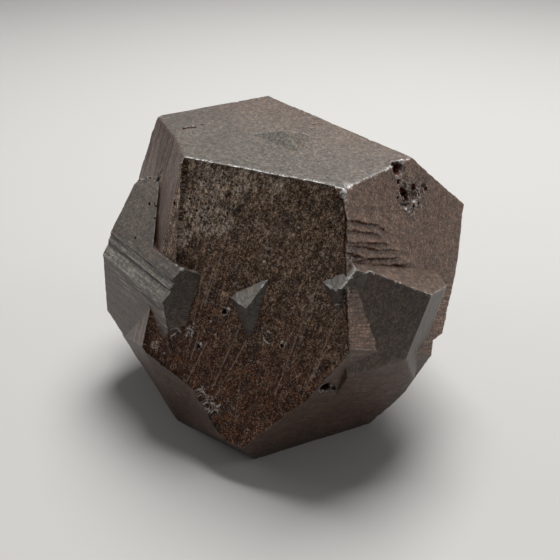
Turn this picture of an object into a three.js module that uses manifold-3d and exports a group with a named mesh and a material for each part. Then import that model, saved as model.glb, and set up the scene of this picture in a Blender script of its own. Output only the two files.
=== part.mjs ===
// Goethite pseudomorph after pyrite, a loose crystal that rests on one of its own faces.
//
// The shape is the iron-cross twin of pyrite: a large pyritohedron {STEEP 1 0} with a second
// one, {1 STEEP 0}, grown through it. The corners of the second crystal stand out of the faces
// of the first as chisel-shaped blocks and wedges. All of it is one solid.
//
// Every flat face is a half-space: a pole, which is the face normal in crystal axes, and the
// distance of the face from the crystal's centre in millimetres. The poles lean a degree or
// two away from the ideal ones, as the faces of a natural crystal do.

import * as THREE from 'three';
import { ConvexGeometry } from 'three/addons/geometries/ConvexGeometry.js';
import { mergeVertices } from 'three/addons/utils/BufferGeometryUtils.js';
import Module from 'manifold-3d';

const wasm = await Module();
wasm.setup();

// ---------------------------------------------------------------- driving dimensions

const STEEP = 2.69; // slope of the pyritohedral faces {STEEP 1 0}
const HEADING = -53.5; // degrees, direction of the crystal's z axis, seen from above

// the large crystal's faces
const TOP = [[STEEP, 1.02, -0.05], 18.5];
const BACK_RIGHT = [[STEEP, -1.04, 0.14], 20.1];
const FRONT = [[0.04, STEEP, 1.02], 15.7];
const LEFT = [[-0.04, STEEP, -0.92], 17.75];
const RIGHT = [[0.99, -0.11, STEEP], 20.4];
const LOWER_RIGHT = [[-0.99, 0.09, STEEP], 21.0];
const BACK_LEFT = [[1.04, 0.03, -STEEP], 24.1];
const BACK_LEFT_FOOT = [[-0.1, 0.2, -2.8], 23.7];
const REAR_RIGHT = [[0.03, -STEEP, 0.99], 17.0];
const REAR_RIGHT_FOOT = [[-0.46, -STEEP, 0.99], 15.3];
const REAR = [[0, -STEEP, -1], 18.0];
const REAR_LEFT = [[-1, 0, -STEEP], 21.0];
const CORNER = [[1.75, 1.61, 1.6], 24.6];
const MAIN = [TOP, BACK_RIGHT, FRONT, LEFT, RIGHT, LOWER_RIGHT, BACK_LEFT, BACK_LEFT_FOOT, REAR_RIGHT,
  REAR_RIGHT_FOOT, REAR, REAR_LEFT, CORNER];

// the foot: the face it rests on and the faces that slope down to that
const REST = [[-STEEP, -1, 0], 16.9];
const FOOT_RIGHT = [[-1.42, 0.1, 2.49], 20.8];
const FOOT_FRONT = [[-2.35, 1.51, 0.67], 23.4];
const FOOT_LEFT = [[-1.53, 2.36, 0.59], 21.9];
const FLANK_LEFT = [[-1.64, 2.34, -0.24], 21.25];
const FOOT_BACK = [[-2.5, 0.12, -1.41], 20.2];
const FOOT = [REST, FOOT_RIGHT, FOOT_FRONT, FOOT_LEFT, FLANK_LEFT, FOOT_BACK];

// notches: what lies outside both faces of a pair is missing
const LEFT_DISH = [[[0.08, STEEP, -0.78], 17.65], [[0.08, STEEP, -1.08], 18.06]];
const EDGE_BEVEL = [[[-0.11, 2.84, 0.38], 16.74], [[1, 0, 0], -1.9]];
const FOOT_NOTCH = [[[-1.53, 2.36, 0.59], 20.27], [[-1.33, 2.55, 0], 19.2]];
const REAR_NOTCH = [[[0, -STEEP, 1], 14.0], [[-STEEP, -1, 0], 2.3]];

// the second crystal's own faces, each pair a chisel that ends one of its axes
const TWIN_CORE = 14; // millimetres, where no block of it reaches the outside
const TWIN_POLES = {
  leftUpper: [1, STEEP, 0],
  leftLower: [-1, STEEP, 0],
  rightUpper: [1, -STEEP, 0],
  rightLower: [-1, -STEEP, 0],
  nearLeft: [0, 1, STEEP],
  nearRight: [0, -1, STEEP],
  farLeft: [0, 1, -STEEP],
  farRight: [0, -1, -STEEP],
  topNear: [STEEP, 0, 1],
  topFar: [STEEP, 0, -1],
  baseNear: [-STEEP, 0, 1],
  baseFar: [-STEEP, 0, -1],
};

// the left block: the distances of the upper and the lower face of each ledge, one below another
const LEFT_LEDGES = [[16.6, 17.2], [16.3, 17.75], [16.0, 18.8]];
const LEFT_REACH = { farLeft: 20.8, baseFar: 18, topFar: 12.1 };
const LEFT_ENDS = [[[0.03, 1.43, 2.49], 9.75], [[-1.82, -0.76, 2.09], 1.4]];
// above the shoulders the block is cut back to a steep riser, which leaves only its tongue in front
const LEFT_RISER = [[0.66, -2.22, 1.7], -16.67];
const LEFT_SHOULDERS = [[[1, 0, 0], 0.65], [[STEEP, 0, 1], 1.2]];

// where each other block of the second crystal reaches, in millimetres from the centre
const CENTRE_WEDGE = { leftUpper: 12.8, leftLower: 13.15, nearLeft: 14.4 };
const TOP_WEDGE = { leftUpper: 12.75, leftLower: 12, nearLeft: 12, topNear: 17.75, topFar: 17.7 };
const REAR_WEDGE = { rightUpper: 16.9, rightLower: 16.5, farRight: 19.5 };
const REAR_WEDGE_END = [[0.1, 0.2, 1], -3];
const RIGHT_BLOCK = { nearRight: 22.0, leftUpper: 11.3, leftLower: 7.4 };
const RIGHT_BLOCK_TOP = [[STEEP, -0.13, 1], 14.45];
const RIGHT_BLOCK_FRONT = [[0.3, 0.97, STEEP], 21.8];
const RIGHT_BLOCK_END = [[0, -STEEP, 1], 13.2];
// the tip is a small wedge that carries the right block's top over the front edge
const TIP_WEDGE = { baseNear: 1.2, nearLeft: 21.8, nearRight: 16.4, leftUpper: 11.3, leftLower: 7.4 };

// pits: the place of each on the surface, and its radius
const PITS = [
  [[19.5, 2.0, 14.7], 0.9],
  [[16.4, -1.6, 15.7], 1.0],
  [[15.3, -0.1, 16.1], 0.7],
  [[17.5, -3.6, 15.2], 0.5],
  [[17.2, 0.2, 15.4], 0.5],
  [[-6.0, 7.6, 19.9], 0.9],
];
const PIT_LIFT = 0.3; // of its radius, how far a pit's middle stands off the surface

const GROWTH_LIMIT = 60; // millimetres, bigger than the crystal
const TOUCH = 1e-6; // faces nearer to a common line than this have no corner
const OUTSIDE = 1e-4; // millimetres, how far out a corner may lie before it is dropped
const SAME_CORNER = 1e-3; // millimetres

// ---------------------------------------------------------------- solids from half-spaces

function makePlane([pole, distance]) {
  const normal = new THREE.Vector3(...pole).normalize();
  return new THREE.Plane(normal, -distance);
}

function corner(a, b, c) {
  const bc = new THREE.Vector3().crossVectors(b.normal, c.normal);
  const spread = a.normal.dot(bc);
  if (Math.abs(spread) < TOUCH) return null;
  const ca = new THREE.Vector3().crossVectors(c.normal, a.normal);
  const ab = new THREE.Vector3().crossVectors(a.normal, b.normal);
  return bc.multiplyScalar(-a.constant)
    .add(ca.multiplyScalar(-b.constant))
    .add(ab.multiplyScalar(-c.constant))
    .divideScalar(spread);
}

function convexPoints(faces) {
  const box = [[1, 0, 0], [-1, 0, 0], [0, 1, 0], [0, -1, 0], [0, 0, 1], [0, 0, -1]];
  const planes = [...faces, ...box.map((pole) => [pole, GROWTH_LIMIT])].map(makePlane);
  const points = [];
  for (let i = 0; i < planes.length; i += 1) {
    for (let j = i + 1; j < planes.length; j += 1) {
      for (let k = j + 1; k < planes.length; k += 1) {
        const point = corner(planes[i], planes[j], planes[k]);
        if (point === null) continue;
        if (planes.some((plane) => plane.distanceToPoint(point) > OUTSIDE)) continue;
        if (points.some((other) => other.distanceTo(point) < SAME_CORNER)) continue;
        points.push(point);
      }
    }
  }
  return points;
}

function toManifold(geometry) {
  const bare = geometry.clone();
  bare.deleteAttribute('normal');
  bare.deleteAttribute('uv');
  const merged = mergeVertices(bare, SAME_CORNER);
  return new wasm.Manifold(new wasm.Mesh({
    numProp: 3,
    vertProperties: merged.attributes.position.array,
    triVerts: Uint32Array.from(merged.index.array),
  }));
}

function crystal(faces) {
  return toManifold(new ConvexGeometry(convexPoints(faces)));
}

// ---------------------------------------------------------------- the specimen

function twinBlock(reach, extraFaces = []) {
  const faces = Object.entries(TWIN_POLES).map(([name, pole]) => [pole, reach[name] ?? TWIN_CORE]);
  return crystal([...faces, ...extraFaces]);
}

function notch(faces) {
  return crystal(faces.map(([pole, distance]) => [pole.map((part) => -part), -distance]));
}

function pit([place, radius]) {
  const middle = new THREE.Vector3(...place);
  middle.setLength(middle.length() + PIT_LIFT * radius);
  return toManifold(new THREE.IcosahedronGeometry(radius, 1).translate(...middle));
}

function leftBlock() {
  const ledges = LEFT_LEDGES.map(([leftUpper, leftLower]) => (
    twinBlock({ ...LEFT_REACH, leftUpper, leftLower }, LEFT_ENDS)));
  const missing = LEFT_SHOULDERS.map((shoulder) => notch([LEFT_RISER, shoulder]));
  return wasm.Manifold.union(ledges).subtract(wasm.Manifold.union(missing));
}

function rightBlock() {
  const open = { ...RIGHT_BLOCK, topNear: GROWTH_LIMIT, nearLeft: GROWTH_LIMIT };
  const tip = twinBlock({ ...TIP_WEDGE, topNear: GROWTH_LIMIT }, [RIGHT_BLOCK_TOP]);
  return twinBlock(open, [RIGHT_BLOCK_TOP, RIGHT_BLOCK_FRONT, RIGHT_BLOCK_END]).add(tip);
}

function growSpecimen() {
  return crystal(MAIN)
    .subtract(notch(LEFT_DISH))
    .subtract(notch(EDGE_BEVEL))
    .add(leftBlock())
    .add(rightBlock())
    .add(twinBlock(CENTRE_WEDGE))
    .add(twinBlock(TOP_WEDGE))
    .add(twinBlock(REAR_WEDGE, [REAR_WEDGE_END]))
    .intersect(crystal(FOOT))
    .subtract(notch(FOOT_NOTCH))
    .subtract(notch(REAR_NOTCH))
    .subtract(wasm.Manifold.union(PITS.map(pit)));
}

function toGeometry(solid) {
  const mesh = solid.getMesh();
  const geometry = new THREE.BufferGeometry();
  geometry.setAttribute('position', new THREE.BufferAttribute(mesh.vertProperties, 3));
  geometry.setIndex(new THREE.BufferAttribute(mesh.triVerts, 1));
  return geometry;
}

// turns crystal axes into the model's frame: the rest face down, the z axis at its heading
function standUpright(geometry) {
  const up = new THREE.Vector3(STEEP, 1, 0).normalize();
  const heading = THREE.MathUtils.degToRad(HEADING);
  const crystalZ = new THREE.Vector3(Math.cos(heading), Math.sin(heading), 0);
  const worldUp = new THREE.Vector3(0, 0, 1);
  const crystalSide = new THREE.Vector3(0, 0, 1).cross(up);
  const worldSide = crystalZ.clone().cross(worldUp);
  const from = new THREE.Matrix4().makeBasis(crystalSide, up, new THREE.Vector3(0, 0, 1));
  const to = new THREE.Matrix4().makeBasis(worldSide, worldUp, crystalZ);
  geometry.applyMatrix4(to.multiply(from.transpose()));
  return geometry;
}

function centreOnBase(geometry) {
  geometry.computeBoundingBox();
  const { min, max } = geometry.boundingBox;
  geometry.translate(-(min.x + max.x) / 2, -(min.y + max.y) / 2, -min.z);
  return geometry;
}

const goethite = new THREE.MeshStandardMaterial({ color: 0x5b4a40, roughness: 0.55, metalness: 0.1 });
const specimen = new THREE.Mesh(centreOnBase(standUpright(toGeometry(growSpecimen()))), goethite);
specimen.name = 'goethite_crystal';

const part = new THREE.Group();
part.add(specimen);
export default part;
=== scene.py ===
"""Goethite pseudomorph after an iron-cross twin of pyrite.

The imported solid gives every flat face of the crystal. Here each face gets a fine mesh of its
own and the relief that belongs to it: growth lines along its zone axis, a granular skin on the
front face, ledges, pits, scratches and chipped edges. Lengths are in millimetres and places in
the crystal's own axes, until the mesh is written in metres in the frame.
"""

import itertools
import math

import bmesh
import bpy
import numpy as np
from mathutils import Matrix, Vector, geometry, kdtree


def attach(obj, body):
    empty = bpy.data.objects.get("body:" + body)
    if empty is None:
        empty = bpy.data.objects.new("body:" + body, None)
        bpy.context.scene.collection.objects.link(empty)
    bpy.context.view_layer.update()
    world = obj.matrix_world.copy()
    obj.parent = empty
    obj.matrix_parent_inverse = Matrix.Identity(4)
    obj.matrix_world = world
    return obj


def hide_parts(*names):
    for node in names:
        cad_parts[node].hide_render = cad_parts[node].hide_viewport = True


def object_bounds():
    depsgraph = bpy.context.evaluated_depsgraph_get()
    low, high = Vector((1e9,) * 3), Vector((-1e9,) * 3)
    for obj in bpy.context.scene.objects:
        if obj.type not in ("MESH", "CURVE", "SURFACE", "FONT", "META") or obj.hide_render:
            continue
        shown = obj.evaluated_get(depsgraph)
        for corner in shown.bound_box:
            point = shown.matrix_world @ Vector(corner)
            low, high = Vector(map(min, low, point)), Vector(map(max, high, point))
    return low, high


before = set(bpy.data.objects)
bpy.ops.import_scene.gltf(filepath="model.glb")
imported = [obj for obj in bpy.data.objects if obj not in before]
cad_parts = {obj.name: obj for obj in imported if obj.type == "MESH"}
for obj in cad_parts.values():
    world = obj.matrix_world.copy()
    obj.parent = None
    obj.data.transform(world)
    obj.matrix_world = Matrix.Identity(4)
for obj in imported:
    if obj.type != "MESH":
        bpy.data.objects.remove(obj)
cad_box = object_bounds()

# ---------------------------------------------------------------- the crystal's own axes

MM = 0.001
NODE = "goethite_crystal"
STEEP = 2.69  # slope of the pyritohedral faces
HEADING = math.radians(-53.5)  # direction of the crystal's z axis, seen from above
CENTRE = np.array([1.03, -1.81, 16.9])  # millimetres in the frame


def side_up_and_z(up, z_axis):
    return np.stack([np.cross(z_axis, up), up, z_axis], axis=1)


def crystal_to_frame():
    """The turn from the crystal's axes to the frame's. The top face ends up level."""
    upright = np.array([0.0, 0.0, 1.0])
    own = side_up_and_z(np.array([STEEP, 1, 0]) / math.hypot(STEEP, 1), upright)
    here = side_up_and_z(upright, np.array([math.cos(HEADING), math.sin(HEADING), 0]))
    return here @ own.T


AXES = crystal_to_frame()


def to_crystal(points):
    return (points - CENTRE) @ AXES


def to_frame(points):
    return points @ AXES.T + CENTRE


def distance(points, place):
    return np.linalg.norm(points - np.array(place), axis=1)


def search_tree(points):
    """Finds the nearest of the points, its number and its distance."""
    tree = kdtree.KDTree(len(points))
    for number, point in enumerate(points):
        tree.insert(point, number)
    tree.balance()
    return tree


# ---------------------------------------------------------------- noise

HASH_STEPS = np.array([374761393, 668265263, 1440662683])
HASH_MIX = 1274126177


def value_noise(points, seed=0):
    """Smooth noise from -1 to 1 at points given in cells of the lattice."""
    cell = np.floor(points).astype(np.int64)
    part = points - cell
    ease = part * part * (3 - 2 * part)
    total = np.zeros(len(points))
    for corner in itertools.product((0, 1), repeat=3):
        h = (cell + np.array(corner)) @ HASH_STEPS + seed * HASH_MIX
        h = ((h & 0xFFFFFFFF) ^ ((h & 0xFFFFFFFF) >> 13)) * HASH_MIX & 0xFFFFFFFF
        h = (h ^ (h >> 16)) & 0xFFFF
        weight = np.prod(np.where(corner, ease, 1 - ease), axis=1)
        total += weight * (h / 32767.5 - 1)
    return total


def layered_noise(points, size, octaves, seed=0):
    """Noise with cells of that size, and finer and weaker layers on top."""
    total = np.zeros(len(points))
    for k in range(octaves):
        total += value_noise(points * 2 ** k / size, seed + 17 * k) / 2 ** k
    return total


def ramp(x, low, high):
    """Eases from 0 at low to 1 at high."""
    t = np.clip((x - low) / (high - low), 0, 1)
    return t * t * (3 - 2 * t)


# ---------------------------------------------------------------- single features

# millimetres in the crystal's own axes: where the front, top and right faces meet, and the vug
CORNER = np.array([16.2, 10.3, 16.2])
VUG = np.array([16.2, -1.2, 15.7])
# place and radius of the pits that stand alone
PITS = [
    ((-2.5, 14.3, 6.8), 0.4), ((-4.1, 15.0, 5.1), 0.2), ((-8.0, 15.1, 4.8), 0.35),
    ((-3.2, 11.3, 14.7), 0.3), ((4.7, 15.9, -11.1), 0.3), ((5.1, 15.8, -10.2), 0.16),
    ((5.0, 15.9, -9.6), 0.2), ((0.4, 17.6, -10.0), 0.18), ((19.6, 0.5, -1.7), 0.2),
    ((7.4, 17.6, -3.2), 0.24), ((7.6, 17.2, 0.1), 0.25), ((8.6, 17.3, -1.3), 0.2),
    ((6.8, 17.35, -1.5), 0.2), ((7.85, 14.8, -14.2), 0.42), ((3.65, 16.35, -8.5), 0.2),
    ((-6.0, 7.6, 19.9), 0.7), ((19.3, 1.7, 14.75), 1.0), ((16.6, 0.2, 15.65), 0.75),
    ((16.2, -0.6, 15.75), 0.75), ((17.1, -1.9, 15.4), 0.55), ((17.6, 1.3, 15.3), 0.35),
    ((17.28, -4.15, 15.23), 0.32), ((16.5, -2.8, 15.6), 0.3), ((13.5, 16.5, 0.3), 0.15),
    ((13.2, 16.5, 0.2), 0.15), ((15.2, -1.8, 16.1), 0.28), ((15.6, -2.9, 15.9), 0.25),
    ((16.9, -3.5, 15.4), 0.22), ((15.9, 1.2, 15.9), 0.2), ((18.5, -8.2, 2.5), 0.35),
    ((17.6, -10.6, -6.5), 0.25), ((18.9, -7.2, -9.0), 0.4), ((12.5, 1.5, -21.0), 0.35),
    ((9.0, -6.5, -22.4), 0.28), ((-5.5, 4.0, -20.3), 0.4), ((-0.5, -4.0, -22.2), 0.25),
    ((-9.5, 6.0, -18.9), 0.22), ((8.0, -15.0, -11.5), 0.3), ((2.0, -12.5, -18.5), 0.35),
    ((-3.0, -13.0, 5.0), 0.35), ((-6.0, -11.2, 9.5), 0.22),
]
# start, end and radius of the slits
SLITS = [
    ((14.85, 12.35, -12.8), (15.2, 11.5, -12.7), 0.3),
    ((15.25, 11.35, -12.5), (15.35, 11.1, -12.1), 0.2),
    ((15.8, 9.95, -12.7), (15.9, 9.7, -12.5), 0.2), ((19.9, -0.4, -3.0), (19.95, -0.6, -2.6), 0.2),
]
# place and radius of grains that stand out, with painted highlights on them
FLECKS = [
    ((-2.0, 14.3, 7.3), 0.35), ((-4.4, 14.8, 5.5), 0.22), ((-2.8, 11.3, 14.6), 0.3),
    ((8.1, 14.4, 6.0), 0.2), ((6.7, 13.0, 9.6), 0.25), ((3.7, 15.7, 2.7), 0.2),
    ((5.1, 13.0, 9.8), 0.22), ((10.3, 11.9, 12.5), 0.2), ((8.4, 10.4, 16.5), 0.2),
    ((-5.7, 14.4, 6.5), 0.2), ((-7.6, 15.3, 5.2), 0.3), ((4.1, 16.2, -12.2), 0.15),
    ((-5.6, 15.5, 3.4), 0.2), ((19.8, 1.4, 14.4), 0.4), ((19.85, 0.6, 14.3), 0.35),
    ((18.9, 0.8, 14.9), 0.3), ((18.6, 1.2, 15.0), 0.25), ((18.2, 1.5, 15.1), 0.2),
    ((15.75, -0.8, 15.95), 0.26), ((14.9, -1.2, 16.2), 0.25), ((14.5, -0.9, 16.4), 0.2),
    ((17.2, -2.5, 15.3), 0.2), ((15.3, -3.3, 16.0), 0.2), ((15.3, -2.2, 16.05), 0.18),
    ((14.6, -1.9, 16.3), 0.18), ((15.7, 10.4, 16.3), 0.6), ((15.1, 10.2, 16.6), 0.4),
    ((14.3, 10.1, 16.9), 0.3), ((13.2, 9.9, 17.3), 0.2), ((15.4, 10.95, -12.9), 0.14),
    ((-11.0, 16.7, 0.6), 0.2), ((-10.2, 16.5, 1.2), 0.15), ((4.2, 9.6, 19.4), 0.25),
    ((0.8, 17.4, 1.15), 0.4), ((0.6, 17.5, 0.1), 0.3),
]
# flakes: thin curved splinters on the front face, with painted highlights on them, each as a row of
# places
FLAKES = [
    [(-13.2, 14.6, 6.3), (-13.1, 14.5, 6.6), (-13.3, 14.3, 7.0), (-13.3, 14.2, 7.5)],
    [(-12.7, 14.4, 6.8), (-12.8, 14.3, 7.1)],
    [(-14.2, 14.6, 6.4), (-14.4, 14.3, 7.1), (-14.4, 14.1, 7.6), (-14.2, 13.9, 8.1)],
    [
        (-14.2, 13.9, 8.1), (-14.0, 13.8, 8.5), (-14.0, 13.6, 8.9), (-14.0, 13.5, 9.3),
        (-13.6, 13.4, 9.6),
    ],
    [(-14.8, 14.0, 7.9), (-15.0, 13.7, 8.8), (-14.5, 13.6, 9.1), (-14.5, 13.4, 9.5)],
    [(-7.4, 16.4, 1.3), (-7.1, 16.3, 1.5)], [(-7.3, 16.2, 1.7), (-7.3, 16.2, 2.0)],
    [(-8.5, 16.6, 0.9), (-8.2, 16.5, 1.2), (-8.0, 16.3, 1.5)],
    [(-6.7, 15.8, 2.8), (-6.5, 15.7, 3.2), (-6.6, 15.5, 3.6), (-7.2, 15.5, 3.6)],
    [(-3.1, 12.2, 12.2), (-3.6, 12.0, 12.7), (-3.6, 11.8, 13.2)],
    [(-2.3, 11.9, 13.1), (-2.4, 12.1, 12.6)],
]
# place and radius of pale, frosted patches
FROST = [
    ((11.2, 16.2, 0.8), 3.2), ((8.0, 16.4, 0.8), 3.4), ((12.6, 15.2, 4.0), 2.2),
    ((13.6, 13.6, 8.4), 1.4), ((4.4, 16.9, -1.0), 1.6), ((7.4, 15.6, 3.4), 1.8),
    ((-10.6, 17.2, -0.9), 0.7),
]
# start and end of the long scratches on the front face
SCRATCHES = [
    ((-7.2, 13.6, 8.6), (-11.5, 13.8, 8.2)), ((-2.0, 13.0, 10.0), (-14.3, 12.5, 11.9)),
    ((3.7, 9.3, 19.7), (-7.7, 9.8, 18.7)), ((-4.4, 12.9, 10.5), (-13.2, 13.7, 8.7)),
    ((-1.3, 9.4, 19.6), (-5.3, 9.6, 19.1)), ((6.0, 10.6, 16.6), (-9.0, 11.0, 15.6)),
    ((2.0, 15.3, 4.0), (-9.5, 15.6, 3.6)), ((8.0, 14.9, 4.6), (-3.0, 15.2, 4.2)),
    ((0.6, 15.7, 2.8), (-5.9, 15.6, 3.4)), ((-3.1, 13.3, 9.2), (-12.4, 13.9, 8.0)),
    ((-7.1, 14.7, 5.7), (-12.6, 15.2, 4.7)), ((-6.4, 15.2, 4.4), (-10.3, 15.3, 4.3)),
]
# the ledges of the right face: the lip of each as places (y, x), from the front edge backwards
LEDGES = [
    [(10.5, 13.05), (7.0, 13.0), (4.9, 12.8), (3.0, 12.1)],
    [(10.5, 12.15), (7.0, 12.05), (4.9, 11.85), (3.8, 11.5)],
    [(10.5, 11.0), (4.9, 10.93), (2.5, 10.9)],
    [(10.5, 10.6), (6.3, 10.5), (4.3, 10.15), (2.4, 10.3), (0.3, 10.1)],
    [(10.5, 9.8), (7.8, 9.5), (6.5, 9.5)],
    [(8.0, 8.9), (6.3, 9.4), (3.0, 9.35), (0.3, 9.5)],
    [(5.5, 8.75), (2.8, 8.7), (-0.5, 8.8), (-1.9, 9.1)],
]
# place, radius and depth of the chips out of the edges
CHIPS = [
    ((-7.5, 16.3, 1.6), 0.9, 0.35), ((-6.7, 15.7, 3.2), 0.8, 0.3), ((-13.3, 14.5, 6.6), 0.9, 0.35),
    ((-14.0, 14.0, 8.0), 1.0, 0.4), ((-14.7, 13.6, 9.2), 0.7, 0.3), ((5.7, 9.2, 19.9), 0.7, 0.3),
    ((4.7, 9.0, 20.3), 0.6, 0.25), ((9.8, 9.0, 18.9), 0.9, 0.3), ((16.6, 9.6, 15.9), 0.8, 0.2),
    ((8.3, 14.6, -12.1), 1.3, 0.5), ((7.0, 15.1, -16.2), 1.2, 0.4), ((-1.4, 17.0, 3.6), 0.7, 0.25),
    ((-3.2, 7.9, 22.3), 0.9, 0.35), ((15.0, 12.1, -19.6), 0.6, 0.2),
    ((-6.1, -11.7, -20.1), 0.9, 0.35), ((16.7, -14.4, -13.0), 0.8, 0.3),
    ((15.2, -17.3, -5.2), 1.0, 0.4), ((15.2, -15.4, 6.8), 0.7, 0.25),
    ((11.3, -11.1, -21.6), 0.7, 0.3),
]
# place, radius and spacing of the zones where the fine mesh is closer: each pit, then the slits
# of the top face, the vug and the ledges
FINEST = 0.09
CLOSE_UPS = [(place, 1.6 * radius, max(FINEST, radius / 4)) for place, radius in PITS]
CLOSE_UPS += [((15.4, 11.0, -12.8), 1.5, FINEST), (VUG, 3.2, 0.13), ((10.9, 4.6, 17.7), 5.2, 0.13)]

# ---------------------------------------------------------------- kinds of face

S = STEEP
# the poles of each kind of face
KINDS = {
    "front": [(0, S, 1.02)],
    "strip": [(-0.11, 2.84, 0.38)],
    "left": [(0, S, -0.92)],
    "top": [(S, 1, 0)],
    "right": [(1, 0, S)],
    "lower_right": [(-1, 0, S)],
    "foot": [(-1.42, 0.1, 2.49), (-2.35, 1.51, 0.67), (-1.6, 2.35, 0), (-2.5, 0.12, -1.41)],
    "rest": [(-S, -1, 0)],
    "plain": [(S, -1, 0), (1, 0, -S), (-1, 0, -S), (-0.1, 0.2, -2.8), (0, -S, 1)],
    "rear": [(0, -S, -1)],
    "twin": [
        (1, S, 0), (1, -S, 0), (-1, -S, 0), (0, 1, S), (0, -1, S), (0, 1, -S), (S, 0, 1), (S, 0, -1),
    ],
    "twin_lower": [(-1, S, 0)],
}
POLES = [(np.array(pole) / np.linalg.norm(pole), kind) for kind in KINDS for pole in KINDS[kind]]
# how far apart the points of the fine mesh lie on each kind
SPACING = {
    "front": 0.18, "strip": 0.18, "left": 0.2, "top": 0.32, "right": 0.22, "lower_right": 0.32,
    "foot": 0.34, "rest": 0.9, "plain": 0.46, "rear": 0.4, "twin": 0.26, "twin_lower": 0.22,
    "broken": 0.2,
}
CLOSEST = 0.12  # the least of these, on the smallest faces
STEPS_ACROSS = 12  # at least so many steps across a small face
LIKE = math.cos(math.radians(15))  # a face further from every pole is broken


class Facet:
    """One flat face of the solid: its triangles, its outline and its kind."""

    def __init__(self, weighted_normal):
        weight = np.linalg.norm(weighted_normal)
        self.area = weight / MM ** 2
        self.normal = weighted_normal / weight
        self.pole = self.normal @ AXES
        likeness, kind = max((pole @ self.pole, kind) for pole, kind in POLES)
        self.kind = kind if likeness > LIKE else "broken"
        across = math.sqrt(self.area)
        self.spacing = max(CLOSEST, min(SPACING[self.kind], across / STEPS_ACROSS))
        self.outline = []
        self.points = []

    def zone(self):
        """The crystal axis that the growth lines on this face follow, and the way across them."""
        along = np.zeros(3)
        along[int(np.argmin(np.abs(self.pole)))] = 1
        across = np.cross(self.pole, along)
        return along, across / np.linalg.norm(across)


# ---------------------------------------------------------------- the fine mesh

FLAT = math.cos(math.radians(0.8))  # triangles closer to parallel belong to one facet
SAME_POINT = 0.002
THIN = 0.004  # a sliver is lower than this
JITTER = 0.18  # of the spacing
CLEAR = 0.5  # of the spacing, how far from the outline's points the inner ones start
MESH_SEED = 7


def welded_solid():
    source = bmesh.new()
    source.from_mesh(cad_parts[NODE].data)
    bmesh.ops.remove_doubles(source, verts=source.verts, dist=SAME_POINT * MM)
    bmesh.ops.dissolve_degenerate(source, dist=SAME_POINT * MM, edges=source.edges)
    bmesh.ops.triangulate(source, faces=source.faces)
    source.normal_update()
    source.verts.index_update()
    source.faces.index_update()
    return source


def is_thin(face):
    return 2 * face.calc_area() < THIN * MM * max(edge.calc_length() for edge in face.edges)


def flat_groups(source):
    """The number of its facet for each face. Slivers join the facet on their longest side."""
    group = {}
    for start in source.faces:
        if start.index in group or is_thin(start):
            continue
        group[start.index] = start.index
        stack = [start]
        while stack:
            for edge in stack.pop().edges:
                for other in edge.link_faces:
                    tilted = other.normal.dot(start.normal) < FLAT
                    if other.index in group or is_thin(other) or tilted:
                        continue
                    group[other.index] = start.index
                    stack.append(other)
    slivers = [face for face in source.faces if face.index not in group]
    while slivers:
        waiting = []
        for face in slivers:
            sides = [(edge.calc_length(), other.index) for edge in face.edges
                     for other in edge.link_faces if other.index in group]
            if sides:
                group[face.index] = group[max(sides)[1]]
            else:
                waiting.append(face)
        slivers = waiting
    return group


def find_facets(source):
    group = flat_groups(source)
    weighted = {}
    for face in source.faces:
        label = group[face.index]
        weighted[label] = weighted.get(label, np.zeros(3)) + np.array(face.normal) * face.calc_area()
    facets = {label: Facet(total) for label, total in weighted.items()}
    borders = []
    for edge in source.edges:
        a, b = (group[face.index] for face in edge.link_faces)
        if a != b:
            borders.append((edge, facets[a], facets[b]))
    return list(facets.values()), borders


class FineMesh:
    """Points shared by the facets, and the triangles between them."""

    def __init__(self):
        self.points = []
        self.triangles = []
        self.owners = []

    def add(self, point):
        self.points.append(np.array(point, float))
        return len(self.points) - 1


def split_borders(fine, borders):
    """Cuts every edge between two facets into short steps that both facets use."""
    corners = {}
    creases = []
    for edge, a, b in borders:
        ends = []
        for vert in edge.verts:
            if vert.index not in corners:
                corners[vert.index] = fine.add(np.array(vert.co) / MM)
            ends.append(corners[vert.index])
        start, stop = (fine.points[k] for k in ends)
        steps = max(1, math.ceil(np.linalg.norm(stop - start) / min(a.spacing, b.spacing)))
        chain = [ends[0]]
        for k in range(1, steps):
            chain.append(fine.add(start + (stop - start) * k / steps))
        chain.append(ends[1])
        for facet in (a, b):
            facet.outline += list(zip(chain, chain[1:]))
        creases.append((chain, a, b, edge))
    return creases


def is_inside(points, edges):
    """Even-odd test of 2-D points against an outline given as an array of edges."""
    inside = np.zeros(len(points), bool)
    for x1, y1, x2, y2 in edges:
        if y1 == y2:
            continue
        crosses = (points[:, 1] < y1) != (points[:, 1] < y2)
        at = x1 + (points[:, 1] - y1) * (x2 - x1) / (y2 - y1)
        inside ^= crosses & (points[:, 0] < at)
    return inside


def grid_points(low, high, spacing, rng):
    """A jittered triangular grid over a rectangle."""
    ys = np.arange(low[1] + spacing * 0.4, high[1], spacing * math.sqrt(3) / 2)
    rows = []
    for k, y in enumerate(ys):
        xs = np.arange(low[0] + spacing * (0.25 + 0.5 * (k % 2)), high[0], spacing)
        rows.append(np.stack([xs, np.full(len(xs), y)], axis=1))
    if not rows:
        return np.zeros((0, 2))
    grid = np.concatenate(rows)
    return grid + rng.uniform(-JITTER, JITTER, grid.shape) * spacing


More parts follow.
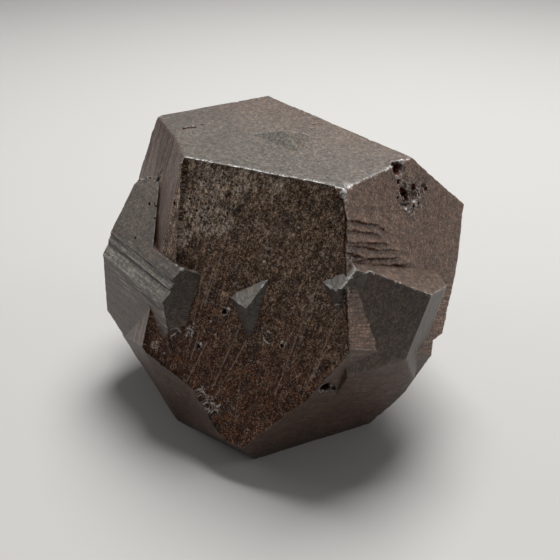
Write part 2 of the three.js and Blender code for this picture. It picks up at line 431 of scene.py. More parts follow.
def scatter(flat, edges, spacing, zones, rng):
    """Points inside the outline, closer in the zones, and kept clear of the outline's points."""
    grid = grid_points(flat.min(0), flat.max(0), spacing, rng)
    apart = np.full(len(grid), spacing)
    for centre, radius, close in zones:
        if close >= spacing:
            continue
        keep = distance(grid, centre) > radius
        extra = grid_points(centre - radius, centre + radius, close, rng)
        extra = extra[distance(extra, centre) < radius - 0.3 * close]
        grid = np.concatenate([grid[keep], extra])
        apart = np.concatenate([apart[keep], np.full(len(extra), close)])
    inside = is_inside(grid, edges)
    grid = grid[inside]
    apart = apart[inside]
    tree = search_tree([(x, y, 0) for x, y in flat])
    clear = [tree.find((x, y, 0))[2] > CLEAR * gap for (x, y), gap in zip(grid, apart)]
    return grid[np.array(clear, bool)]


def inside_faces(faces, rim):
    """Which triangles lie inside the rim: each rim edge that is crossed leads in or out."""
    beside = {}
    for n, face in enumerate(faces):
        for k in range(3):
            beside.setdefault(frozenset((face[k - 1], face[k])), []).append(n)
    inside = {}
    stack = []
    for pair, users in beside.items():
        if len(users) == 1 and users[0] not in inside:
            inside[users[0]] = pair in rim
            stack.append(users[0])
    while stack:
        n = stack.pop()
        for k in range(3):
            pair = frozenset((faces[n][k - 1], faces[n][k]))
            for other in beside[pair]:
                if other not in inside:
                    inside[other] = inside[n] != (pair in rim)
                    stack.append(other)
    return [face for n, face in enumerate(faces) if inside.get(n)]


def fill_facet(fine, facet, rng):
    """Scatters points over the facet and joins them and its outline to triangles."""
    normal = facet.normal
    side = np.cross(normal, (0.3, 0.5, 0.8))
    side /= np.linalg.norm(side)
    plane = np.stack([side, np.cross(normal, side)], axis=1)
    ids = sorted({k for pair in facet.outline for k in pair})
    number = {k: n for n, k in enumerate(ids)}
    rim = np.array([fine.points[k] for k in ids])
    origin = rim.mean(0)
    flat = (rim - origin) @ plane
    pairs = [(number[a], number[b]) for a, b in facet.outline]
    edges = np.array([(*flat[a], *flat[b]) for a, b in pairs])
    zones = []
    for place, radius, close in CLOSE_UPS:
        away = to_frame(np.array(place)) - origin
        if abs(away @ normal) < 0.5 * radius:
            zones.append((away @ plane, radius, close))
    inner = scatter(flat, edges, facet.spacing, zones, rng)
    height = ((rim - origin) @ normal).mean()
    for point in inner:
        ids.append(fine.add(origin + plane @ point + normal * height))
    every = [Vector(p) for p in np.concatenate([flat, inner])]
    _, _, faces, sources, _, _ = geometry.delaunay_2d_cdt(every, pairs, [], 0, 1e-9, True)
    faces = [[sources[k][0] for k in face] for face in faces if all(sources[k] for k in face)]
    for face in inside_faces(faces, {frozenset(pair) for pair in pairs}):
        fine.triangles.append([ids[k] for k in face])
        fine.owners.append(facet)
    facet.points = ids


def make_fine_mesh():
    source = welded_solid()
    facets, borders = find_facets(source)
    fine = FineMesh()
    creases = split_borders(fine, borders)
    rng = np.random.default_rng(MESH_SEED)
    for facet in facets:
        fill_facet(fine, facet, rng)
    creases = [(chain, a, b, edge.is_convex) for chain, a, b, edge in creases]
    source.free()
    return fine, facets, creases


def snapper(fine, facets):
    """A function that moves a place onto the plane of the facet it lies nearest to."""
    plane = {}
    for facet in facets:
        level = (to_crystal(np.array([fine.points[k] for k in facet.points])) @ facet.pole).mean()
        for k in facet.points:
            plane[k] = (facet.pole, level)
    tree = search_tree(to_crystal(np.array(fine.points)))

    def snap(place):
        pole, level = plane[tree.find(place)[1]]
        return tuple(np.array(place) + (level - pole @ place) * pole)

    return snap


fine, facets, creases = make_fine_mesh()
snap = snapper(fine, facets)
pits = [(snap(place), radius) for place, radius in PITS]
flecks = [(snap(place), radius) for place, radius in FLECKS]
slits = [(snap(start), snap(stop), radius) for start, stop, radius in SLITS]
scratches = [(snap(start), snap(stop), 1.0) for start, stop in SCRATCHES]
flakes = [[snap(place) for place in flake] for flake in FLAKES]

# ---------------------------------------------------------------- relief of each kind of face

FAR = 9.0  # stands for any distance that is out of a feature's reach


def dent(p, place, radius, depth, rim=0.0):
    """A round hollow with a raised rim, a little out of round."""
    away = p - np.array(place)
    r = np.linalg.norm(away, axis=1) / radius * (1 + 0.25 * value_noise(away / radius, 9))
    return rim * np.exp(-((r - 1.15) / 0.25) ** 2) - depth * np.clip(1 - r * r, 0, 1)


def line_distance(p, start, stop):
    start = np.array(start, float)
    way = np.array(stop, float) - start
    t = np.clip((p - start) @ way / (way @ way), 0, 1)
    return np.linalg.norm(p - start - t[:, None] * way, axis=1)


def nearest_line(p, lines):
    """Distance from the nearest of the lines, in radii of that line."""
    best = np.full(len(p), FAR)
    for start, stop, radius in lines:
        best = np.minimum(best, line_distance(p, start, stop) / radius)
    return best


def flake_lines(radius):
    return [(start, stop, radius) for flake in flakes for start, stop in zip(flake, flake[1:])]


def growth_lines(facet, p, height, width, length, seed):
    """Fine ridges that follow the face's zone axis."""
    along, across = facet.zone()
    q = np.stack([p @ along / length, p @ across / width, p @ facet.pole * 0.1], axis=1)
    return height * (value_noise(q, seed) + 0.6 * value_noise(q * (1.9, 2.3, 1), seed + 1))


def rim_distance(fine, facet, kind):
    """How far each point of the facet lies from its borders with that kind of face."""
    near = [k for chain, a, b, _ in creases for k in chain
            if facet in (a, b) and (b if facet is a else a).kind == kind]
    points = np.array([fine.points[k] for k in facet.points])
    if not near:
        return np.full(len(points), FAR)
    tree = search_tree([fine.points[k] for k in near])
    return np.array([tree.find(point)[2] for point in points])


def front_rim(fine, facet, p):
    """Distance from the border that the granular skin keeps clear of, rounded at the corner."""
    rim = rim_distance(fine, facet, "right") + 0.12 * value_noise(p / 0.9, 52)
    return np.minimum(rim, distance(p, CORNER) - 1.0)


RIM_STEP = 0.42  # how far the skin lies below its smooth rim


def granular_relief(fine, facet, p):
    """Grains and fine lines, lower than the rim, with the long scratches as ridges."""
    strength = 0.9 + 0.45 * value_noise(p / 4.5, 50)
    grain = 0.085 * layered_noise(p, 0.6, 2, 40) - 0.16 * ramp(value_noise(p / 0.75, 51), 0.15, 0.7)
    swell = 0.05 * value_noise(p / 1.9, 53)
    lined = ramp(value_noise(p / (9, 2.5, 2.5), 54) - 0.06 * p[:, 0], -0.3, 0.5)
    lines = (0.2 + lined) * growth_lines(facet, p, 0.045, 0.36, 6, 60)
    rim = front_rim(fine, facet, p)
    skin = (strength * (grain + lines) + swell) * ramp(rim, 0.0, 0.3)
    ridges = sum(0.05 * np.exp(-(line_distance(p, a, b) / 0.15) ** 2) for a, b, _ in scratches)
    return skin - RIM_STEP * ramp(rim, 0.1, 0.4) + ridges


def ledge_heights(p):
    """How far each point lies above the lip of each ledge, and how much of the ledge is there."""
    wobble = 0.16 * value_noise(p / (1.6, 1.4, 1.6), 70) + 0.08 * value_noise(p / (0.5, 0.6, 0.5), 71)
    for ledge in LEDGES:
        ys, xs = np.array(sorted(ledge)).T
        above = p[:, 0] + wobble - np.interp(p[:, 1], ys, xs)
        begun = ramp(p[:, 1], ys[0] - 0.4, ys[0] + 0.8)
        yield above, begun * ramp(-p[:, 1], -ys[-1] - 0.3, -ys[-1] + 0.3)


LEDGE_HEIGHT = 0.22


def ledge_relief(p):
    """Uneven steps on the right face: each climbs towards its lip and drops below it."""
    rise = np.zeros(len(p))
    for above, there in ledge_heights(p):
        slope = np.where(above > 0, np.clip(1 - above / 1.1, 0, 1), ramp(above, -0.14, 0))
        rise += LEDGE_HEIGHT * there * slope
    return rise


STEP_SPACING = 0.52  # of the even steps low on the right face


def right_relief(p):
    """Ledges above, even steps below, a rough skin and the crust round the vug."""
    wobble = 0.1 * value_noise(p / (0.7, 1.6, 0.7), 72)
    part = (p[:, 0] + wobble) / STEP_SPACING
    lower = 0.1 * (part - np.floor(part)) * ramp(-p[:, 0], -7.4, -6.6)
    lower *= 0.6 + 0.5 * value_noise(p / 1.3, 77)
    skin = 0.035 * layered_noise(p, 0.6, 2, 73) + 0.03 * value_noise(p / 3, 74)
    skin -= 0.07 * ramp(value_noise(p / 0.75, 78), 0.25, 0.8)
    crumble = ramp(-distance(p, VUG), -3.4, -1.0)
    crust = 0.14 * layered_noise(p, 0.7, 2, 75) - 0.3 * ramp(value_noise(p / 0.8, 76), 0.1, 0.5)
    return ledge_relief(p) + lower + skin + crumble * crust


def block_band(p):
    """Where the left block carries its closest steps: 1 between its upper and its lower face."""
    return ramp(-np.abs(p[:, 0] + 2.6), -3.4, -2.2) * (p[:, 2] < 6)


def left_relief(facet, p, seed):
    broad = 0.05 * value_noise(p / (11, 1.3, 1.3), seed + 3)
    return broad + growth_lines(facet, p, 0.05, 0.42, 10, seed)


def twin_relief(facet, p, height, seed):
    """Smooth faces with fine steps, closest near the ledges of the left block."""
    lines = growth_lines(facet, p, height, 0.4, 18, seed)
    band = 0.0
    if facet.pole[1] > 0.9:
        band = 4.0 * block_band(p) * growth_lines(facet, p, height, 0.3, 24, seed + 5)
    return lines + band + 0.015 * value_noise(p / 3, 80) + 0.008 * value_noise(p / 0.6, 81)


FLAKE_HEIGHT = 0.12
SLIT_DEPTH = 0.12
FLECK_HEIGHT = 0.12  # at most
PIT_DEPTH = 0.9  # of the radius
PIT_RIM = 0.14  # of the radius


def face_relief(fine, facet, p):
    """Height of the relief over the facet at its points, outwards, in millimetres."""
    kind = facet.kind
    seed = 100 + len(kind)  # kinds whose names are equally long share a pattern
    if kind == "rest":
        return np.zeros(len(p))
    if kind == "front":
        h = granular_relief(fine, facet, p)
    elif kind == "strip":
        h = growth_lines(facet, p, 0.07, 0.45, 6, seed) + 0.05 * layered_noise(p, 0.7, 2, seed)
        h -= 0.1 * ramp(value_noise(p / (1.4, 0.7, 0.7), 56), 0.25, 0.8)
    elif kind == "left":
        h = left_relief(facet, p, seed)
    elif kind == "top":
        h = 0.02 * value_noise(p / 4, seed) + growth_lines(facet, p, 0.007, 0.7, 9, seed)
        h += 0.008 * value_noise(p / 0.5, 57)
    elif kind == "right":
        h = right_relief(p)
    elif kind == "lower_right":
        h = 0.03 * value_noise(p / 3, seed) + growth_lines(facet, p, 0.02, 0.6, 12, seed)
    elif kind == "foot":
        h = 0.06 * layered_noise(p, 3.2, 2, seed) + growth_lines(facet, p, 0.02, 0.9, 9, seed)
    elif kind == "plain":
        h = 0.04 * layered_noise(p, 3.5, 3, seed) + growth_lines(facet, p, 0.035, 0.9, 14, seed)
    elif kind == "rear":
        h = 0.09 * layered_noise(p, 1.8, 3, seed) - 0.12 * ramp(value_noise(p / 1.2, seed), 0.1, 0.8)
    elif kind == "broken":
        h = 0.05 * layered_noise(p, 0.8, 2, seed)
    elif kind == "twin_lower":
        h = twin_relief(facet, p, 0.022, seed)
    else:
        h = twin_relief(facet, p, 0.012, seed)
    for place, radius in pits:
        h += dent(p, place, radius, PIT_DEPTH * radius, PIT_RIM * radius)
    for start, stop, radius in slits:
        h -= SLIT_DEPTH * np.clip(1 - (line_distance(p, start, stop) / (0.8 * radius)) ** 2, 0, 1)
    for place, radius in flecks:
        h -= dent(p, place, radius, min(0.5 * radius, FLECK_HEIGHT))
    if kind == "front":
        h += FLAKE_HEIGHT * np.exp(-nearest_line(p, flake_lines(0.16)) ** 2)
    return h


SOFTEN = 0.03  # keeps a point still along the ways in which no face pushes it


def raise_relief(fine, facets):
    """Moves each point along the normals of the faces that meet in it."""
    points = np.array(fine.points)
    pull = np.tile(np.eye(3) * SOFTEN, (len(points), 1, 1))
    push = np.zeros((len(points), 3))
    crystal_points = to_crystal(points)
    for facet in facets:
        ids = np.array(facet.points)
        height = face_relief(fine, facet, crystal_points[ids])
        pull[ids] += np.outer(facet.normal, facet.normal)
        push[ids] += height[:, None] * facet.normal
    return points + np.linalg.solve(pull, push[:, :, None])[:, :, 0]


# ---------------------------------------------------------------- worn and chipped edges, and how strong their painted highlights are

SHARP = math.cos(math.radians(13))  # faces that are closer to parallel share no edge
# how strong the painted highlight on the edge between two kinds of face is, and how worn that edge is
EDGES = {
    ("front", "top"): (1.0, 1.0),
    ("right", "top"): (0.75, 1.0),
    ("front", "right"): (0.3, 0.8),
    ("front", "strip"): (0.15, 0.8),
    ("front", "twin"): (0.3, 0.3),
    ("twin", "twin"): (0.5, 0.3),
    ("twin", "twin_lower"): (0.5, 0.3),
    ("broken", "twin"): (0.6, 0.4),
    ("broken", "twin_lower"): (0.1, 0.3),
    ("front", "twin_lower"): (0.3, 0.3),
    ("lower_right", "twin"): (0.1, 0.3),
    ("right", "twin"): (0.2, 0.3),
}
OTHER_EDGE = (0.1, 0.6)
UPWARDS = 0.3  # a face whose normal rises less than this is steep or turned down


def edge_between(a, b):
    """How strong the painted highlight is and how worn: only edges of a face that looks up get a
    painted highlight.
    """
    bright, worn = EDGES.get(tuple(sorted((a.kind, b.kind))), OTHER_EDGE)
    return (bright if max(a.normal[2], b.normal[2]) > UPWARDS else 0.0, worn)


class Edges:
    """The worn, convex borders: for any point, the nearest one and how far away it is."""

    def __init__(self, points, creases):
        self.spots = []
        self.inward = []
        self.marks = []
        for chain, a, b, convex in creases:
            if not convex or a.normal @ b.normal > SHARP:
                continue
            middle = -(a.normal + b.normal)
            for k, after in zip(chain, chain[1:]):
                for part in (0.125, 0.375, 0.625, 0.875):
                    self.spots.append(points[k] + part * (points[after] - points[k]))
                    self.inward.append(middle / np.linalg.norm(middle))
                    self.marks.append(edge_between(a, b))
        tree = search_tree(self.spots)
        found = [tree.find(point) for point in points]
        nearest = [hit[1] for hit in found]
        self.distance = np.array([hit[2] for hit in found])
        self.way = np.array(self.inward)[nearest]
        # the strength of the nearest edge's painted highlight, and how worn that edge is
        self.bright, self.worn = np.array(self.marks)[nearest].T


def wear_edges(points, edges):
    """Takes the edge off convex borders and breaks the chips out."""
    q = to_crystal(points)
    nibble = ramp(layered_noise(q, 0.8, 2, 90), 0.1, 0.9)
    depth = edges.worn * (0.05 + 0.13 * nibble)
    reach = edges.worn * (0.2 + 0.3 * nibble)
    depth = depth * np.clip(1 - edges.distance / reach, 0, 1) ** 2
    for place, radius, deep in CHIPS:
        r = distance(q, place) / radius
        depth += deep * np.clip(1 - r * r, 0, 1) * (1 + 0.3 * np.sin(9 * r))
    return points + edges.way * depth[:, None]


def mark_crisp_edges(mesh, creases):
    """Keeps the shading sharp where two faces meet and the edge is hardly worn."""
    crisp = set()
    for chain, a, b, convex in creases:
        if a.normal @ b.normal < SHARP and not (convex and edge_between(a, b)[1] > 0.5):
            crisp.update(frozenset(pair) for pair in zip(chain, chain[1:]))
    ends = np.zeros(2 * len(mesh.edges), int)
    mesh.edges.foreach_get("vertices", ends)
    sharp = [frozenset(pair) in crisp for pair in ends.reshape(-1, 2).tolist()]
    mesh.attributes.new("sharp_edge", "BOOLEAN", "EDGE").data.foreach_set("value", sharp)


# ---------------------------------------------------------------- the crystal as one object

# how granular, dull, light and strongly lined each kind of face is; the faces turned down,
# lower_right, foot and twin_lower, are darker as painted shade
LOOKS = {
    "front": (1.0, 0.68, 0.93, 0.42),
    "strip": (0.8, 0.55, 1.5, 0.8),
    "left": (0.0, 0.46, 0.95, 0.85),
    "top": (0.0, 0.46, 0.84, 0.1),
    "right": (0.32, 0.52, 1.15, 0.1),
    "lower_right": (0.0, 0.42, 0.5, 0.45),
    "foot": (0.0, 0.48, 0.5, 0.45),
    "rest": (0.0, 0.42, 0.85, 0.45),
    "plain": (0.0, 0.42, 0.85, 0.45),
    "rear": (0.7, 0.42, 0.85, 0.45),
    "twin": (0.0, 0.42, 0.85, 0.2),
    "twin_lower": (0.0, 0.42, 0.5, 0.25),
    "broken": (0.0, 0.42, 0.6, 0.45),
}
# painted shade on the twin's small lower faces and on its steep faces
DARKEST_PAINTED_SHADE = 0.3  # of the twin's small lower faces
STEEP_PAINTED_SHADE = 0.5
SMALL_AREA = 14  # square millimetres
DEEP = 16.5  # millimetres, a face of the twin nearer to the centre than this lies deep
ACROSS_Y = 0.85  # of the twin's poles only the two next to +y have more of y than this


def nearest_of(q, places):
    """Distance from the nearest of the places, in radii of that place."""
    best = np.full(len(q), FAR)
    for place, radius in places:
        best = np.minimum(best, distance(q, place) / radius)
    return best


def groove_distance(fine, facet, p):
    """How far each point lies from the foot of a ledge or of the front face's rim, where painted
    shade goes.
    """
    best = np.full(len(p), FAR)
    if facet.kind == "front":
        best = np.abs(front_rim(fine, facet, p) - 0.24) - 0.08
    if facet.kind == "right":
        for above, there in ledge_heights(p):
            uneven = 0.08 * value_noise(p / 0.9, 79)
            best = np.minimum(best, np.abs(above + 0.08) - 0.04 + uneven + 0.4 * (1 - there))
    return best


def tone_and_painted_shade_of(facet, tone_and_painted_shade):
    """How light a face is. The twin's small lower and its steep faces are darker: painted shade on
    faces that do not look up.
    """
    if facet.kind == "twin_lower" and facet.area < SMALL_AREA:
        return DARKEST_PAINTED_SHADE
    return STEEP_PAINTED_SHADE if facet.kind == "twin" and facet.normal[2] < UPWARDS else tone_and_painted_shade


def warmth_of(facet, p):
    """How reddish a face is: partly the crystal's own warm brown, partly a painted red reflection.
    The top face gets warmer towards the back.
    """
    if facet.kind == "top":
        return 0.1 + 0.45 * ramp(1.5 * value_noise(p / 3, 97) - p[:, 1], -12, 6)
    if facet.kind == "twin" and facet.area < SMALL_AREA:
        return 0.2
    if facet.kind == "twin":
        return 0.25 if facet.pole[1] > ACROSS_Y else 0.55
    return 0.45 if facet.kind in ("plain", "rear", "rest") else 0.9


def painted_highlight_of(facet, p):
    """Painted highlight: the twin's deep faces that look up are lightest, on the wedges and between
    the ledges.
    """
    if facet.kind != "twin" or facet.normal[2] < UPWARDS:
        return 0.0
    if facet.pole[1] > ACROSS_Y and (p @ facet.pole).mean() < DEEP:
        return 1.0
    return 0.15 if facet.area < SMALL_AREA else 0.0


def painted_gleam(facet, p):
    """Where the left block's front gets thin painted highlight lines."""
    if facet.kind != "twin_lower":
        return 0.0
    return ramp(p[:, 0], -9.5, -5.0) * ramp(p[:, 2], -17, -6) * (p[:, 2] < 6)


def face_layers(fine, facet, p):
    """The layers of one face: a value for all of its points, or one for each."""
    granular, dull, tone_and_painted_shade, lined = LOOKS[facet.kind]
    if facet.kind == "right":
        lined = np.maximum(lined, 0.75 * ramp(-p[:, 0], -7.6, -6.8))
    if facet.pole[1] > ACROSS_Y and facet.kind.startswith("twin"):
        lined = np.maximum(lined, 0.6 * block_band(p))
    return {
        "granular": granular,
        "dull": dull,
        "tone_and_painted_shade": tone_and_painted_shade_of(facet, tone_and_painted_shade),
        "warm": warmth_of(facet, p),
        "bright": painted_highlight_of(facet, p),
        "groove": groove_distance(fine, facet, p),
        "painted_gleam": painted_gleam(facet, p),
        "lines_" + "xyz"[int(np.argmin(np.abs(facet.pole)))]: lined,
    }


def surface_layers(fine):
    """Values for every corner of every triangle, so that they change sharply between faces."""
    q = to_crystal(np.array(fine.points))
    layers = {}
    triangles = np.array(fine.triangles)
    first = 0
    for facet, group in itertools.groupby(fine.owners):
        rows = slice(first, first + len(list(group)))
        first = rows.stop
        at = np.zeros(len(q))
        for name, values in face_layers(fine, facet, q[facet.points]).items():
            at[facet.points] = values
            layers.setdefault(name, np.zeros(triangles.shape))[rows] = at[triangles[rows]]
    return layers


def point_layers(q, edges):
    """Values for every point: how far it lies from the features, in their own radii."""
    under_shoulder = (q[:, 0] < 11) & (q[:, 2] < 6)
    uneven = 0.75 + 0.35 * value_noise(q / 1.3, 96)
    return {
        "rust": ramp(-q[:, 0] + 2.5 * value_noise(q / 4, 95), -8, 9),
        "frost": ramp(-nearest_of(q, FROST), -1.6, -0.3),
        "edge": np.minimum(edges.distance, FAR),
        # painted highlight along the convex edges, weaker under the shoulder
        "edge_highlight": edges.bright * np.where(under_shoulder, 0.35, uneven),
        "chip": nearest_of(q, [(place, radius) for place, radius, _ in CHIPS]),
        "fleck": nearest_of(q, flecks),
        "pit": nearest_of(q, pits),
        "slit": nearest_line(q, slits),
        "flake": nearest_line(q, flake_lines(0.24)),
        "scratch": nearest_line(q, scratches),
        "crumbly": ramp(-distance(q, VUG), -3.3, -1.6),
    }


def add_layers(mesh, layers, domain):
    for name, values in layers.items():
        mesh.attributes.new(name, "FLOAT", domain).data.foreach_set("value", values.ravel())


def make_crystal(fine, facets, creases):
    raised = raise_relief(fine, facets)
    edges = Edges(raised, creases)
    low, high = np.array(cad_box) / MM
    worn = np.clip(wear_edges(raised, edges), low, high)
    mesh = bpy.data.meshes.new("goethite_surface")
    mesh.from_pydata(worn * MM, [], fine.triangles)
    mesh.polygons.foreach_set("use_smooth", np.ones(len(mesh.polygons), bool))
    mark_crisp_edges(mesh, creases)
    q = to_crystal(np.array(fine.points))
    add_layers(mesh, surface_layers(fine), "CORNER")
    add_layers(mesh, point_layers(q, edges), "POINT")
    place = mesh.attributes.new("place", "FLOAT_VECTOR", "POINT")
    place.data.foreach_set("vector", q.ravel())
    crystal = bpy.data.objects.new("goethite_surface", mesh)
    bpy.context.scene.collection.objects.link(crystal)
    return crystal


# ---------------------------------------------------------------- material

class Graph:
    """A material's nodes, added one at a time."""

    def __init__(self, name):
        self.material = bpy.data.materials.new(name)
        self.material.use_nodes = True
        self.tree = self.material.node_tree
        self.shader = self.tree.nodes["Principled BSDF"]

    def add(self, kind, **settings):
        node = self.tree.nodes.new("ShaderNode" + kind)
        for name, value in settings.items():
            setattr(node, name, value)
        return node

    def put(self, value, socket):
        if isinstance(value, (int, float)):
            socket.default_value = value
        elif isinstance(value, tuple):
            socket.default_value = (*value, 1)
        else:
            self.tree.links.new(value, socket)

    def feed(self, node, **values):
        for name, value in values.items():
            self.put(value, node.inputs[name])
        return node.outputs[0]

    def attribute(self, name, output="Fac"):
        return self.add("Attribute", attribute_name=name).outputs[output]

    def noise(self, coordinates, scale, detail=3.0, roughness=0.55, distortion=0.0):
        settings = {"Detail": detail, "Roughness": roughness, "Distortion": distortion}
        return self.feed(self.add("TexNoise"), Vector=coordinates, Scale=scale, **settings)

    def stretched(self, coordinates, scale):
        node = self.add("Mapping")
        node.inputs["Scale"].default_value = scale
        return self.feed(node, Vector=coordinates)

    def ramp(self, value, stops):
        node = self.add("ValToRGB")
        elements = node.color_ramp.elements
        while len(elements) < len(stops):
            elements.new(0.5)
        for element, (position, colour) in zip(elements, stops):
            element.position = position
            element.color = (*colour, 1) if isinstance(colour, tuple) else (colour,) * 3 + (1,)
        return self.feed(node, Fac=value)

    def mix(self, factor, a, b, blend="MIX"):
        return self.feed(self.add("MixRGB", blend_type=blend), Fac=factor, Color1=a, Color2=b)

    def math(self, operation, *values):
        node = self.add("Math", operation=operation)
        for k, value in enumerate(values):
            self.put(value, node.inputs[k])
        return node.outputs[0]


class GoethiteGraph(Graph):
    """The graph with the noises that several parts of this material use."""

    def __init__(self):
        super().__init__("goethite")
        self.where = self.attribute("place", "Vector")
        self.patches = self.noise(self.where, 0.9, 4, 0.7)
        self.speck = self.noise(self.where, 4.0, 2, 0.7)
        self.wobble = self.scaled(self.noise(self.where, 3.2, 2, 0.6), 0.6, -0.3)

    def wobbly(self, name, amount):
        """A distance with unevenness added, so that what is cut from it has an uneven border."""
        return self.scaled(self.wobble, amount, self.attribute(name))

    def scaled(self, value, factor, shift):
        """The value times the factor, plus the shift."""
        return self.math("MULTIPLY_ADD", value, factor, shift)

    def product(self, a, b):
        return self.math("MULTIPLY", a, b)

    def most(self, a, b):
        return self.math("MAXIMUM", a, b)


GREY_BROWN = (0.113, 0.1, 0.083)
WARM_BROWN = (0.138, 0.077, 0.055)
# near-white of the painted highlights on edges, grains, flakes and chips
HIGHLIGHT_COLOUR = (0.74, 0.72, 0.69)
# painted glints on the granular skin
GLINT = (0.46, 0.38, 0.33)
SCRATCHED = (0.3, 0.22, 0.18)
# painted highlight lines on the left block's front
GLEAM_HIGHLIGHT = (0.5, 0.46, 0.44)
# colours, or factors, along the values of a noise, from its deepest grains to its highest
# the pale of the painted highlight on the twin's deep faces
PALE = [(0.4, (0.1, 0.085, 0.072)), (0.5, (0.21, 0.19, 0.165)), (0.6, (0.37, 0.35, 0.32))]
DARK_SKIN = [
    (0.39, (0.006, 0.003, 0.002)), (0.46, (0.054, 0.028, 0.014)),
    (0.53, (0.14, 0.084, 0.051)), (0.6, (0.44, 0.32, 0.24)),
]
RUSTY_SKIN = [
    (0.38, (0.01, 0.003, 0.001)), (0.46, (0.04, 0.012, 0.004)),
    (0.54, (0.09, 0.031, 0.012)), (0.62, (0.26, 0.12, 0.06)),
]
FROSTED_SKIN = [
    (0.4, (0.012, 0.008, 0.006)), (0.48, (0.165, 0.115, 0.083)), (0.57, (0.68, 0.55, 0.46)),
]
CRUST = [(0.4, (0.02, 0.005, 0.003)), (0.5, (0.095, 0.05, 0.035)), (0.62, (0.42, 0.33, 0.26))]
TINT = [(0.4, (1.06, 1.0, 0.87)), (0.6, (0.96, 0.97, 0.99))]
GRAIN_SHADE = [(0.4, 0.4), (0.5, 0.95), (0.6, 1.9)]
BROAD_SHADE = [(0.3, 0.85), (0.7, 1.15)]
STREAK_SHADE = [(0.38, 0.35), (0.5, 0.95), (0.62, 1.9)]
# near-black to red-brown of the painted shade in pits, slits and grooves
PAINTED_SHADE_INSIDE = [(0.42, (0.012, 0.004, 0.003)), (0.57, (0.1, 0.034, 0.022))]


def smooth_colour(g):
    """Grey to warm brown with fine grains, and a painted highlight that makes the twin's deep faces
    that look up pale.
    """
    mottle = g.noise(g.where, 1.7, 4, 0.75)
    grains = g.math("ADD", g.product(mottle, 0.5), g.product(g.speck, 0.5))
    colour = g.mix(g.attribute("warm"), GREY_BROWN, WARM_BROWN)
    colour = g.mix(1.0, colour, g.ramp(grains, GRAIN_SHADE), "MULTIPLY")
    colour = g.mix(1.0, colour, g.ramp(g.noise(g.where, 0.16, 3), BROAD_SHADE), "MULTIPLY")
    return g.mix(g.attribute("bright"), colour, g.ramp(grains, PALE))


def skin_colour(g):
    """Granular skin: dark above, rusty below, frosted in places, with painted glints and scratches.
    """
    curly = g.noise(g.where, 2.6, 4, 0.8, 1.0)
    grains = g.math("ADD", g.product(curly, 0.6), g.product(g.speck, 0.4))
    grains = g.math("ADD", grains, g.scaled(g.patches, 0.3, -0.15))
    colour = g.mix(g.attribute("rust"), g.ramp(grains, DARK_SKIN), g.ramp(grains, RUSTY_SKIN))
    veil = g.noise(g.stretched(g.where, (0.45, 1.0, 1.0)), 1.1, 4, 0.7)
    frosted = g.math("ADD", g.attribute("frost"), g.scaled(veil, 3.5, -1.75))
    frosted = g.ramp(frosted, [(0.35, 0.0), (0.85, 0.9)])
    colour = g.mix(frosted, colour, g.ramp(grains, FROSTED_SKIN))
    glint = g.ramp(g.noise(g.where, 2.9, 1, 0.5, 2.5), [(0.61, 0.0), (0.65, 0.65)])
    colour = g.mix(glint, colour, GLINT)
    scratched = g.ramp(g.wobbly("scratch", 0.4), [(0.04, 0.75), (0.12, 0.0)])
    return g.mix(scratched, colour, SCRATCHED)


def lined_colour(g, colour):
    """Streaks along each axis, on the faces that are lined that way, and painted highlight lines
    along z.
    """
    for axis in range(3):
        scale = [5.0, 5.0, 5.0]
        scale[axis] = 0.25
        streak = g.noise(g.stretched(g.where, scale), 1.0, 3, 0.6)
        streaked = g.mix(1.0, colour, g.ramp(streak, STREAK_SHADE), "MULTIPLY")
        colour = g.mix(g.attribute("lines_" + "xyz"[axis]), colour, streaked)
    gleaming = g.product(g.ramp(streak, [(0.58, 0.0), (0.63, 0.8)]), g.attribute("painted_gleam"))
    return g.mix(gleaming, colour, GLEAM_HIGHLIGHT)


def highlight_places(g):
    """Painted highlights on worn edges, grains, flakes and the crumbs of chips and rims."""
    edge_highlight = g.attribute("edge_highlight")
    jitter = g.scaled(g.speck, 1.26, -0.63)
    narrow = g.scaled(edge_highlight, -0.14, 0.14)
    line = g.math("ADD", g.math("ADD", g.attribute("edge"), jitter), narrow)
    line = g.ramp(line, [(0.07, 1.0), (0.2, 0.0)])
    line = g.product(line, g.ramp(edge_highlight, [(0.0, 0.0), (0.6, 1.0)]))
    line = g.product(line, g.ramp(g.patches, [(0.43, 0.15), (0.53, 1.0)]))
    sparkle = g.ramp(g.speck, [(0.44, 0.15), (0.54, 1.0)])
    fleck = g.ramp(g.wobbly("fleck", 1.0), [(0.5, 0.85), (0.95, 0.0)])
    flake = g.ramp(g.wobbly("flake", 0.6), [(0.3, 0.75), (0.6, 0.0)])
    crumbs = g.ramp(g.speck, [(0.52, 0.0), (0.58, 1.0)])
    chip = g.ramp(g.wobbly("chip", 1.0), [(0.6, 0.4), (0.98, 0.0)])
    half_pit = g.product(g.attribute("pit"), 0.5)
    rim = g.ramp(half_pit, [(0.45, 0.0), (0.53, 0.7), (0.7, 0.0)])
    highlit = g.most(line, g.product(fleck, sparkle))
    highlit = g.most(highlit, g.product(flake, sparkle))
    return g.most(highlit, g.product(g.most(chip, rim), crumbs))


def painted_shade_places(g):
    """Painted shade: pits, slits and the feet of the ledges and of the front face's rim are made
    dark.
    """
    groove = g.ramp(g.wobbly("groove", 0.45), [(0.02, 0.85), (0.12, 0.0)])
    pit = g.ramp(g.wobbly("pit", 0.8), [(0.72, 1.0), (0.98, 0.0)])
    slit = g.ramp(g.wobbly("slit", 0.5), [(0.75, 1.0), (1.0, 0.0)])
    return g.most(g.most(pit, slit), groove)


INDEX = 1.65
BUMP = 0.0001  # metres


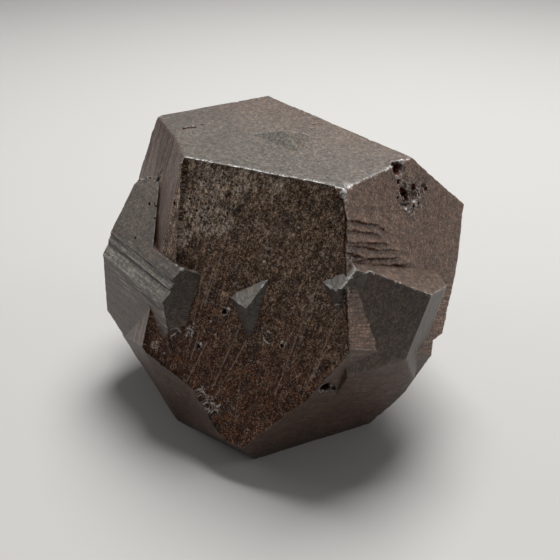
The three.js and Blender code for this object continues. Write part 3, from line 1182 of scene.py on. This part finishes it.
def goethite_material():
    g = GoethiteGraph()
    granular = g.attribute("granular")
    colour = g.mix(granular, smooth_colour(g), skin_colour(g))
    colour = g.mix(1.0, colour, g.attribute("tone_and_painted_shade", "Color"), "MULTIPLY")
    colour = g.mix(1.0, colour, g.ramp(g.noise(g.where, 1.2, 3, 0.7), TINT), "MULTIPLY")
    colour = lined_colour(g, colour)
    colour = g.mix(g.product(g.attribute("crumbly"), 0.75), colour, g.ramp(g.speck, CRUST))
    highlit = highlight_places(g)
    # painted highlights on edges, grains, flakes and chips
    colour = g.mix(highlit, colour, HIGHLIGHT_COLOUR)
    # painted shade in pits, slits and at the feet of the ledges and of the rim
    hollow = painted_shade_places(g)
    colour = g.mix(hollow, colour, g.ramp(g.speck, PAINTED_SHADE_INSIDE))
    dull = g.math("ADD", g.attribute("dull"), g.scaled(g.speck, 0.3, -0.15))
    level = g.scaled(g.attribute("tone_and_painted_shade"), 0.4, 0.12)
    level = g.scaled(granular, -0.32, level)
    strength = g.scaled(granular, 0.8, 0.15)
    bumped = g.feed(g.add("Bump"), Distance=BUMP, Strength=strength, Height=g.speck)
    g.feed(g.shader, Roughness=g.scaled(highlit, -0.2, dull), IOR=INDEX, Normal=bumped)
    g.put(colour, g.shader.inputs["Base Color"])
    g.put(g.scaled(hollow, -0.5, level), g.shader.inputs["Specular IOR Level"])
    return g.material


crystal = make_crystal(fine, facets, creases)
crystal.data.materials.append(goethite_material())
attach(crystal, "root")
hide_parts(NODE)

# ---------------------------------------------------------------- floor, light and camera

FLOOR_SIZE = 3.0
FLOOR_COLOUR = (0.54, 0.53, 0.51)


def make_floor():
    bpy.ops.mesh.primitive_plane_add(size=FLOOR_SIZE)
    floor = bpy.context.object
    floor.name = "floor"
    material = bpy.data.materials.new("floor")
    material.use_nodes = True
    shader = material.node_tree.nodes["Principled BSDF"]
    shader.inputs["Base Color"].default_value = (*FLOOR_COLOUR, 1)
    shader.inputs["Roughness"].default_value = 0.9
    floor.data.materials.append(material)


def aim(thing, place, target, roll=0.0):
    thing.location = place
    turn = (Vector(target) - Vector(place)).to_track_quat("-Z", "Y")
    thing.rotation_euler = (turn.to_matrix() @ Matrix.Rotation(roll, 3, "Z")).to_euler()


LIT = (0, 0, 0.018)  # the middle of the crystal, in metres


def area_light(name, place, size, power):
    lamp = bpy.data.lights.new(name, "AREA")
    lamp.shape = "DISK"
    lamp.size = size
    lamp.energy = power
    thing = bpy.data.objects.new(name, lamp)
    bpy.context.scene.collection.objects.link(thing)
    aim(thing, place, LIT)


def make_lights():
    area_light("overhead", (0.05, 0.13, 0.36), 0.22, 1.85)
    area_light("left", (-0.4, 0.1, 0.26), 0.2, 0.16)
    area_light("right", (0.4, -0.05, 0.2), 0.2, 0.2)
    world = bpy.data.worlds.new("studio")
    world.use_nodes = True
    world.node_tree.nodes["Background"].inputs["Color"].default_value = (0.95, 0.96, 1, 1)
    world.node_tree.nodes["Background"].inputs["Strength"].default_value = 0.14
    bpy.context.scene.world = world
    bpy.context.scene.view_settings.view_transform = "Standard"


# millimetres in the frame
CAMERA_PLACE = (-0.25, -93.7, 68.1)
CAMERA_TARGET = (0.6, -1.4, 15.6)
CAMERA_ROLL = math.radians(-0.6)
CAMERA_LENS = 50


def make_camera():
    camera = bpy.data.objects.new("camera", bpy.data.cameras.new("camera"))
    camera.data.lens = CAMERA_LENS
    camera.data.clip_start = 0.005
    bpy.context.scene.collection.objects.link(camera)
    aim(camera, np.array(CAMERA_PLACE) * MM, np.array(CAMERA_TARGET) * MM, CAMERA_ROLL)
    bpy.context.scene.camera = camera


make_floor()
make_lights()
make_camera()
